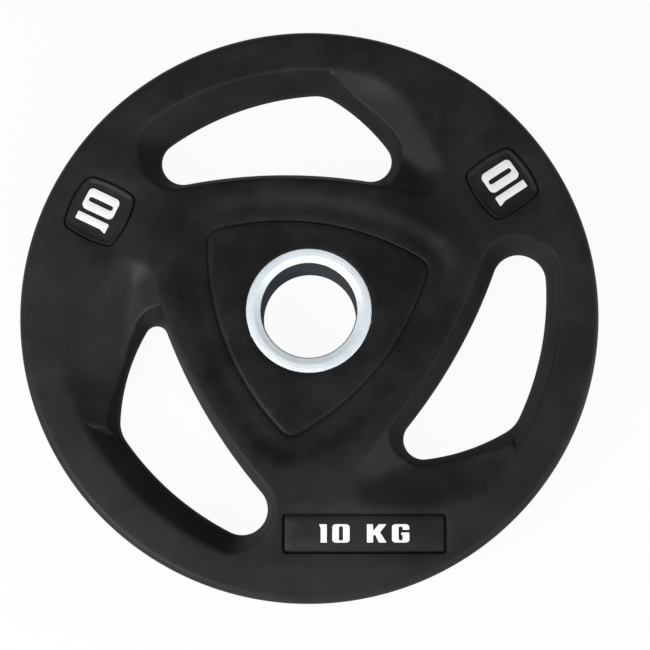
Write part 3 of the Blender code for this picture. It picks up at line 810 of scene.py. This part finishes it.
def figure_one():
    right = FLAG_REACH + STROKE
    corners = [(FLAG_REACH, 0), (right, 0), (right, 1)]
    corners += [(0, 1), (0, 1 - FLAG_TIP), (FLAG_REACH, 1 - FLAG_HEIGHT)]
    return [rounded_polygon(corners, (SOFT, SOFT, FLAG_TIP, SOFT, FLAG_SOFT, FLAG_TIP))], right


def figure_zero():
    outer = rounded_polygon(box_corners((ROUND_WIDTH / 2, 0.5), ROUND_WIDTH, 1), (ROUND_CORNER,) * 4)
    slot = box_corners((ROUND_WIDTH / 2, 0.5), COUNTER_WIDTH, COUNTER_HEIGHT)
    return [outer, rounded_polygon(slot, (COUNTER_WIDTH * COUNTER_ROUND[0],) * 4)], ROUND_WIDTH


def figure_k():
    foot = K_WIDTH - STROKE * K_FOOT
    corners = [(0, 0), (STROKE, 0), (STROKE, K_STEM_SPAN[0]), K_NOTCH, (foot, 0), (K_WIDTH, 0), K_CROTCH]
    corners += [(K_WIDTH, 1), (foot, 1), (STROKE, K_STEM_SPAN[1]), (STROKE, 1), (0, 1)]
    return [rounded_polygon(corners, (SOFT,) * len(corners), 3)], K_WIDTH


def figure_g():
    left, right = (ROUND_WIDTH - COUNTER_WIDTH) / 2, (ROUND_WIDTH + COUNTER_WIDTH) / 2
    low, high = (1 - COUNTER_HEIGHT) / 2 + G_EXTRA, (1 + COUNTER_HEIGHT) / 2 - G_EXTRA
    bar_left, bar_low, bar_high = left + G_BAR_INSET, *G_BAR
    corners = [(0, 0), (ROUND_WIDTH, 0), (ROUND_WIDTH, bar_high), (bar_left, bar_high), (bar_left, bar_low)]
    corners += [(right, bar_low), (right, low), (left, low), (left, high), (right, high), (right, G_LIP)]
    corners += [(ROUND_WIDTH, G_LIP), (ROUND_WIDTH, 1), (0, 1)]
    inside, outside = (COUNTER_WIDTH * COUNTER_ROUND[1],) * 4, (ROUND_CORNER,) * 2
    radii = (*outside, *(SOFT,) * 4, *inside, *(SOFT,) * 2, *outside)
    return [rounded_polygon(corners, radii, 6)], ROUND_WIDTH


FIGURES = {"1": figure_one, "0": figure_zero, "K": figure_k, "G": figure_g}

# %% Inlays
INLAY_ROUND = 0.00010
INLAY_STEPS = 3
MIRRORED_BADGE = ("front", "left")


def facing_out(outline):
    """The same outline, counter-clockwise, so that growing it by a positive amount makes it larger."""
    x, y = outline[:, 0], outline[:, 1]
    area = (x * np.roll(y, -1) - np.roll(x, -1) * y).sum()
    return outline if area > 0 else outline[::-1]


def make_inlay(name, outlines, flipped):
    """One figure, from its outer line and the line of its counter, with its upper edge rounded."""
    mould = Mould()
    outlines = [facing_out(outline) for outline in outlines]
    inward = [-INLAY_ROUND] + [INLAY_ROUND] * (len(outlines) - 1)
    panel = HALF - PANEL_DROP
    top = panel + INLAY_STAND
    walls = [[mould.ring(outline, top - INLAY_ROUND)] for outline in outlines]
    for near, far in quarter(INLAY_STEPS, 1)[:-1]:
        for outline, rings, amount in zip(outlines, walls, inward):
            rings.append(mould.ring(grow(outline, amount * near), top - INLAY_ROUND * far))
    rims = [grow(outline, amount) for outline, amount in zip(outlines, inward)]
    upper = mould.fill(rims[0], rims[1:], [], NO_POINTS, level(top))
    lower = mould.fill(outlines[0], outlines[1:], [], NO_POINTS, level(panel))
    for low, rings, high in zip(lower, walls, upper):
        mould.bands([low] + rings + [high])
    return mould.object(name, flipped)


def set_row(prefix, text, sizes, axes, flipped):
    """A row of figures. sizes: height, stretch and gaps; axes: the row's centre, right and up."""
    size, stretch, gaps = sizes
    centre, right, up = axes
    drawn = [FIGURES[letter]() for letter in text]
    scale = size * stretch
    x = -(sum(width for _, width in drawn) * scale + sum(gaps)) / 2
    made = []
    for letter, (outlines, width), gap in zip(text, drawn, list(gaps) + [0]):
        placed = []
        for outline in outlines:
            local = outline * (scale, size) + (x, -size / 2)
            placed.append(centre + local[:, :1] * right + local[:, 1:] * up)
        made.append((f"{prefix}_{letter}", make_inlay(f"white_{prefix}_{letter}", placed, flipped)))
        x += width * scale + gap
    return made


def set_face(side, flipped):
    """The numerals of both badges and the characters of the label, on one face."""
    facing = -1 if flipped else 1
    made = []
    for place, angle in zip(("right", "left"), BADGE_ANGLES):
        out, sideways = np.array(polar(1, angle)), np.array(polar(1, angle + 90))
        mirrored = -1 if (side, place) == MIRRORED_BADGE else 1
        centre = out * (PLATE_RADIUS - BADGE_INSET + NUMERAL_OFFSET)
        sizes = (NUMERAL_HEIGHT, 1, (NUMERAL_GAP,))
        axes = (centre, sideways * facing * mirrored, -out)
        made += set_row(f"{side}_{place}_numeral", "10", sizes, axes, flipped)
    axes = (np.array(LABEL_CENTRE), np.array([facing, 0]), np.array([0, 1]))
    sizes = (CHARACTER_HEIGHT, CHARACTER_STRETCH, (CHARACTER_GAP, WORD_GAP, CHARACTER_GAP))
    return made + set_row(f"{side}_label", "10KG", sizes, axes, flipped)


inlays = set_face("front", False) + set_face("rear", True)

# %% [markdown]
# ## Shader maths in plain expressions
#
# A finish varies over a surface, and that takes many small Math nodes. Written out one by one they hide the
# idea, so the class below wraps a socket and lets Python's own operators add the nodes. Every other kind of
# node comes from one method that takes its type, its settings and what goes into its sockets.

# %% Shader helper
MATTE_ROUGHNESS = 0.6


def maths(operation, reflected=False):
    """An operator that adds one Math node. Reflected, it takes the wire second, as in 1 - mask."""
    def operator(wire, other):
        first, second = (other, wire) if reflected else (wire, other)
        return wire.finish.node("ShaderNodeMath", {0: first, 1: second}, operation=operation)
    return operator


class Wire:
    """A shader socket that can be added, multiplied and so on like a number."""

    def __init__(self, finish, socket):
        self.finish = finish
        self.socket = socket

    __add__, __radd__ = maths("ADD"), maths("ADD", True)
    __sub__, __rsub__ = maths("SUBTRACT"), maths("SUBTRACT", True)
    __mul__, __rmul__ = maths("MULTIPLY"), maths("MULTIPLY", True)
    __pow__ = maths("POWER")


class Finish:
    """One material, with a Principled shader and methods that add nodes to it."""

    def __init__(self, name):
        self.material = bpy.data.materials.new(name)
        self.material.use_nodes = True
        self.tree = self.material.node_tree
        self.shader = self.tree.nodes["Principled BSDF"]

    def node(self, kind, inputs=None, output=0, **settings):
        """Adds any node with its settings, feeds its sockets, and returns one of its outputs."""
        node = self.tree.nodes.new(kind)
        for key, value in settings.items():
            setattr(node, key, value)
        for key, value in (inputs or {}).items():
            self.feed(node.inputs[key], value)
        return Wire(self, node.outputs[output])

    def feed(self, socket, value):
        """Links a wire to a socket, or sets the socket to a constant."""
        if isinstance(value, Wire):
            self.tree.links.new(value.socket, socket)
        else:
            socket.default_value = value

    def position(self):
        return self.node("ShaderNodeTexCoord", output="Object")

    def radius(self):
        """Distance from the plate's axis."""
        place = self.node("ShaderNodeSeparateXYZ", {"Vector": self.position()})
        x, y = place, Wire(self, place.socket.node.outputs[1])
        return (x * x + y * y) ** 0.5

    def attribute(self, name):
        return self.node("ShaderNodeAttribute", output="Fac", attribute_name=name)

    def matte(self, colour, normal):
        """A shader without any gloss."""
        inputs = {"Color": colour, "Roughness": MATTE_ROUGHNESS, "Normal": normal}
        return self.node("ShaderNodeBsdfDiffuse", inputs)

    def lay_over(self, share, shader):
        """Lays another shader over the main one, as far as `share` says."""
        main = Wire(self, self.shader.outputs[0])
        mixed = self.node("ShaderNodeMixShader", {0: share, 1: main, 2: shader})
        self.feed(self.tree.nodes["Material Output"].inputs["Surface"], mixed)

    def noise(self, scale, detail=3.0, roughness=0.5):
        """Noise over the object: waves in a metre, levels of detail, and how strong the finer levels are."""
        inputs = {"Vector": self.position(), "Scale": scale, "Detail": detail, "Roughness": roughness}
        return self.node("ShaderNodeTexNoise", inputs)

    def sine(self, value):
        return self.node("ShaderNodeMath", {0: value}, operation="SINE")

    def between(self, value, low, high):
        """How far a value has gone from low to high, kept between 0 and 1."""
        inputs = {"Value": value, "From Min": low, "From Max": high}
        return self.node("ShaderNodeMapRange", inputs, interpolation_type="SMOOTHSTEP")

    def mix(self, share, first, second):
        inputs = {"Factor": share, 6: first, 7: second}
        return self.node("ShaderNodeMix", inputs, 2, data_type="RGBA")

    def bump(self, height, distance, strength, below=None):
        inputs = {"Height": height, "Distance": distance, "Strength": strength}
        if below:
            inputs["Normal"] = below
        return self.node("ShaderNodeBump", inputs)

    def set(self, **sockets):
        for name, value in sockets.items():
            self.feed(self.shader.inputs[name.replace("_", " ")], value)
        return self.material


# %% [markdown]
# ## Moulded rubber
#
# The cover is matt black rubber. It isn't one flat black: dust lies on it in broad soft patches, the rubber
# turns paler and duller towards the rim and darker round the hub, and a few specks are paler still. The fine
# grain is bump only, at a fraction of a millimetre. A steep wall would mirror the white floor, which the
# photograph doesn't show, so a share of its shader has no gloss. The mesh says where it is steep.

# %% Rubber finish
RUBBER_DARK = (0.0058, 0.0058, 0.0060, 1)
RUBBER_PALE = (0.0180, 0.0181, 0.0183, 1)
RUBBER_SPECK = (0.035, 0.035, 0.035, 1)
WALL_CLEAN = (0.0165, 0.0162, 0.0155, 1)
WALL_DUSTY = (0.0240, 0.0236, 0.0226, 1)
WALL_MATTE = 0.68
OUTER_RADII = (0.070, 0.115)
RIM_SIDE_RADII = (0.146, 0.149)


def rubber_finish():
    finish = Finish("moulded_rubber")
    radius = finish.radius()
    # The rubber turns paler and duller towards the rim and darker round the hub.
    outer = finish.between(radius, *OUTER_RADII)
    clouds = finish.between(finish.noise(26.0, 4.0, 0.55), 0.36, 0.66)
    stains = finish.between(finish.noise(75.0, 4.0, 0.6), 0.40, 0.72)
    grain = finish.noise(2600.0, 2.0, 0.6)
    specks = finish.between(finish.noise(900.0, 2.0, 0.7), 0.66, 0.74)
    ripple = finish.noise(38.0, 3.0, 0.5)
    # Paler in the dust patches and stains, and paler towards the rim and darker round the hub.
    paleness = 0.42 * outer + 0.46 * clouds + 0.28 * stains - 0.08
    colour = finish.mix(specks * 0.2, finish.mix(paleness, RUBBER_DARK, RUBBER_PALE), RUBBER_SPECK)
    roughness = 0.42 + 0.06 * outer + 0.06 * clouds + 0.03 * stains + 0.04 * grain
    soft = finish.bump(ripple, 0.0006, 0.25)
    normal = finish.bump(grain, 0.00005, 0.40, soft)
    steep = finish.between(finish.attribute("steep"), 0.12, 0.32)
    steep = steep * (1.0 - finish.between(radius, *RIM_SIDE_RADII))
    finish.lay_over(steep * WALL_MATTE, finish.matte(finish.mix(clouds, WALL_CLEAN, WALL_DUSTY), normal))
    return finish.set(Base_Color=colour, Roughness=roughness, Normal=normal, Specular_IOR_Level=0.19)


# %% [markdown]
# ## Turned and plated steel
#
# The sleeve is turned, so its end faces carry fine rings round the bore, and then zinc plated, which gives
# it a bluish white. The rings are a wave of the distance from the axis, and they go into the bump and,
# faintly, into the colour. The bore is painted darker and duller, as painted shade inside the hole: its
# colour goes near black, and most of its shader is a dark layer without gloss.

# %% Plated steel finish
PLATING_DULL = (0.80, 0.88, 0.93, 1)
PLATING_BRIGHT = (0.91, 0.96, 0.98, 1)
GROOVE = (0.58, 0.68, 0.77, 1)
# Painted shade for the inside of the bore: a near-black colour and a dark layer without gloss.
BORE_SHADE_STEEL = (0.026, 0.031, 0.036, 1)
BORE_SHADE_DARK = (0.014, 0.017, 0.020, 1)
BORE_SHADE_LIGHT = (0.042, 0.050, 0.056, 1)
BORE_SHADE_SHARE = 0.80
FINE_RINGS = 42000.0
BROAD_RINGS = 4200.0


def steel_finish():
    finish = Finish("plated_steel")
    radius = finish.radius()
    wobble = finish.noise(60.0, 3.0)
    fine_rings = finish.sine(radius * FINE_RINGS + wobble * 6.0)
    broad_rings = finish.sine(radius * BROAD_RINGS + wobble * 3.0)
    fine = finish.noise(1400.0, 3.0, 0.6)
    cloud = finish.noise(45.0, 4.0, 0.6)
    shade = finish.mix(finish.between(cloud, 0.35, 0.68), PLATING_DULL, PLATING_BRIGHT)
    turned = finish.mix(finish.between(fine_rings + broad_rings, -1.6, 1.6) * 0.30, shade, GROOVE)
    # Painted shade inside the bore: the colour goes near black, and a dark layer without gloss covers most of
    # it.
    in_bore = 1.0 - finish.between(radius, BORE_RADIUS + 0.0002, BORE_RADIUS + BORE_EDGE_ROUND)
    colour = finish.mix(in_bore, turned, BORE_SHADE_STEEL)
    roughness = 0.30 + 0.10 * cloud + 0.05 * fine + 0.20 * in_bore
    metallic = 0.36 - 0.08 * cloud
    normal = finish.bump(fine_rings + broad_rings * 3.0 + fine * 0.8, 0.00002, 0.35)
    finish.lay_over(in_bore * BORE_SHADE_SHARE, finish.matte(finish.mix(cloud, BORE_SHADE_DARK, BORE_SHADE_LIGHT), normal))
    return finish.set(Base_Color=colour, Metallic=metallic, Roughness=roughness, Normal=normal)


# %% [markdown]
# ## White inlay and bare iron
#
# The figures are a white rubber paint: nearly even, with a faint mottle and a little less gloss where the
# plate has rubbed. The iron core never shows, but it is there, so it gets a rough cast finish too.

# %% Inlay and iron finishes
PAINT_CLEAN = (0.86, 0.86, 0.85, 1)
PAINT_WORN = (0.80, 0.80, 0.79, 1)
IRON_GREY = (0.10, 0.10, 0.105, 1)
IRON_RUST = (0.13, 0.075, 0.05, 1)


def inlay_finish():
    finish = Finish("white_inlay_paint")
    mottle = finish.noise(220.0, 4.0, 0.6)
    grain = finish.noise(2400.0, 2.0)
    colour = finish.mix(finish.between(mottle, 0.3, 0.75), PAINT_CLEAN, PAINT_WORN)
    normal = finish.bump(mottle + grain * 0.4, 0.00004, 0.4)
    return finish.set(Base_Color=colour, Roughness=0.42 + 0.12 * mottle, Normal=normal)


def iron_finish():
    finish = Finish("cast_iron_skin")
    lumps = finish.noise(260.0, 5.0, 0.65)
    rust = finish.between(finish.noise(30.0, 5.0, 0.6), 0.52, 0.72)
    colour = finish.mix(rust, IRON_GREY, IRON_RUST)
    metallic = 0.85 - 0.6 * rust
    roughness = 0.62 + 0.2 * lumps
    normal = finish.bump(lumps, 0.0003, 0.6)
    return finish.set(Base_Color=colour, Metallic=metallic, Roughness=roughness, Normal=normal)


rubber, steel, paint, iron = rubber_finish(), steel_finish(), inlay_finish(), iron_finish()
print("finishes:", [material.name for material in (rubber, steel, paint, iron)])


# %% Spin the sleeve
SEAM_GAP = 1e-7


def join_seam(work):
    bmesh.ops.remove_doubles(work, verts=work.verts, dist=SEAM_GAP)


def make_sleeve(material):
    """Spins the section, and keeps the result as a plain mesh."""
    count = len(section)
    mesh = bpy.data.meshes.new("sleeve_section")
    points = [(radius - PATH_RADIUS, height, 0) for radius, height in section]
    mesh.from_pydata(points, [(i, (i + 1) % count) for i in range(count)], [])
    source = add_object("sleeve_section", mesh)
    tree, inputs = spin_tree()
    modifier = source.modifiers.new("spin", "NODES")
    modifier.node_group = tree
    modifier[inputs["Segments"]] = SPIN_SEGMENTS
    modifier[inputs["Material"]] = material
    evaluated = source.evaluated_get(bpy.context.evaluated_depsgraph_get())
    spun = bpy.data.meshes.new_from_object(evaluated)
    bpy.data.objects.remove(source, do_unlink=True)
    piece = closed_object("turned_sleeve", spun, join_seam)
    spun.transform(Matrix.Translation((0, 0, MIDDLE)))
    return piece


turned_sleeve = make_sleeve(steel)

# %% [markdown]
# ## Dress the frame
#
# Each finished piece rides on the plate's only body and stands for the plain solid that it covers. The iron
# core keeps its own solid and takes its new finish.

# %% Ride, replace and finish
def dress(piece, node, material):
    piece.data.materials.clear()
    piece.data.materials.append(material)
    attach(piece, "root")
    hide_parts(node)


dress(front_cover, "front_rubber_skin", rubber)
dress(rear_cover, "rear_rubber_skin", rubber)
dress(turned_sleeve, "hub_sleeve", steel)
for node, piece in inlays:
    dress(piece, node, paint)
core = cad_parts["iron_core"]
core.data.materials.clear()
core.data.materials.append(iron)
print(f"dressed {3 + len(inlays)} pieces")

# %% [markdown]
# ## Floor and lamps
#
# The plate lies on a plain pale floor under soft lamps. The rubber is nearly black, so it is drawn by
# reflections. The key lamp stands to the lower left of the picture: the scoops that slope towards it light
# up and the walls that face away stay dark, which is what shows their depth in the photograph. Two broad
# lamps even out the face, a low one on the label's side and a fill at the lower right lift the shadows, and
# a narrow lamp almost at floor level draws the light line along the right rim.
#
# The floor shows nearly white to the camera, in reflections and through glass, but it lights the plate no
# more than a grey card does. Its edge bends up far out, so that no horizon shows in a low view.

# %% Floor
FLOOR_RADIUS = 2.6
FLOOR_SIDES = 96
FLOOR_DROP = 0.0002
BEND_RADIUS = 1.4
BEND_STEPS = 12
FLOOR_GREY = (0.60, 0.60, 0.60, 1)
FLOOR_ROUGHNESS = 0.8
FLOOR_WHITE = 0.95
WHITE = (1, 1, 1, 1)


def make_floor():
    """A pale floor that the camera sees as white, and that still takes the plate's shadow."""
    finish = Finish("pale_floor")
    finish.set(Base_Color=FLOOR_GREY, Roughness=FLOOR_ROUGHNESS)
    rays = [f"Is {kind} Ray" for kind in ("Camera", "Glossy", "Transmission")]
    camera, glossy, through = [finish.node("ShaderNodeLightPath", output=ray) for ray in rays]
    glow = finish.node("ShaderNodeEmission", {"Color": WHITE})
    finish.lay_over((camera + glossy + through) * FLOOR_WHITE, glow)
    bend, edge = quarter(BEND_STEPS), FLOOR_RADIUS + BEND_RADIUS
    mould = Mould()
    profile = [(edge - BEND_RADIUS * far, BEND_RADIUS * near - FLOOR_DROP) for near, far in bend]
    rings = mould.circles(profile, FLOOR_SIDES)
    mould.bands(rings[::-1])
    middle = mould.ring(np.zeros((1, 2)), -FLOOR_DROP).repeat(FLOOR_SIDES)
    mould.faces += np.stack([rings[0], np.roll(rings[0], -1), middle], 1).tolist()
    mesh = bpy.data.meshes.new("floor")
    mesh.from_pydata(np.concatenate(mould.points).tolist(), [], mould.faces)
    mesh.shade_smooth()
    mesh.materials.append(finish.material)
    add_object("floor", mesh)
    print(f"floor: {len(mesh.polygons)} faces")


make_floor()

# %% Lamps and world
LAMP_TARGET = Vector((0, 0, 0.02))
WORLD_STRENGTH = 0.06


def place_lamp(name, azimuth, elevation, distance, size, power):
    """A soft lamp that is aimed at the plate, at an angle round from +X and an angle up from the floor."""
    data = bpy.data.lights.new(name, "AREA")
    data.shape = "RECTANGLE"
    data.size, data.size_y = size
    data.energy = power
    lamp = add_object(name, data)
    x, y = polar(distance * math.cos(math.radians(elevation)), azimuth)
    lamp.location = (x, y, distance * math.sin(math.radians(elevation)))
    lamp.rotation_euler = (LAMP_TARGET - lamp.location).to_track_quat("-Z", "Y").to_euler()


place_lamp("key_lamp", 221, 45, 1.0, (0.42, 0.34), 9.4)
place_lamp("left_lamp", 178, 60, 1.2, (0.60, 0.60), 1.5)
place_lamp("right_lamp", 350, 60, 1.2, (0.60, 0.60), 1.2)
place_lamp("low_lamp", 262, 20, 1.1, (0.60, 0.25), 1.6)
place_lamp("fill_lamp", 316, 42, 1.1, (0.40, 0.40), 3.3)
place_lamp("rim_lamp", 350, 6, 1.0, (0.50, 0.12), 1.8)

world = bpy.data.worlds.new("studio")
bpy.context.scene.world = world
world.use_nodes = True
background = world.node_tree.nodes["Background"]
background.inputs["Color"].default_value = WHITE
background.inputs["Strength"].default_value = WORLD_STRENGTH
print("lamps:", [data.name for data in bpy.data.lights])

# %% Finish
bpy.context.scene.view_settings.view_transform = "Standard"
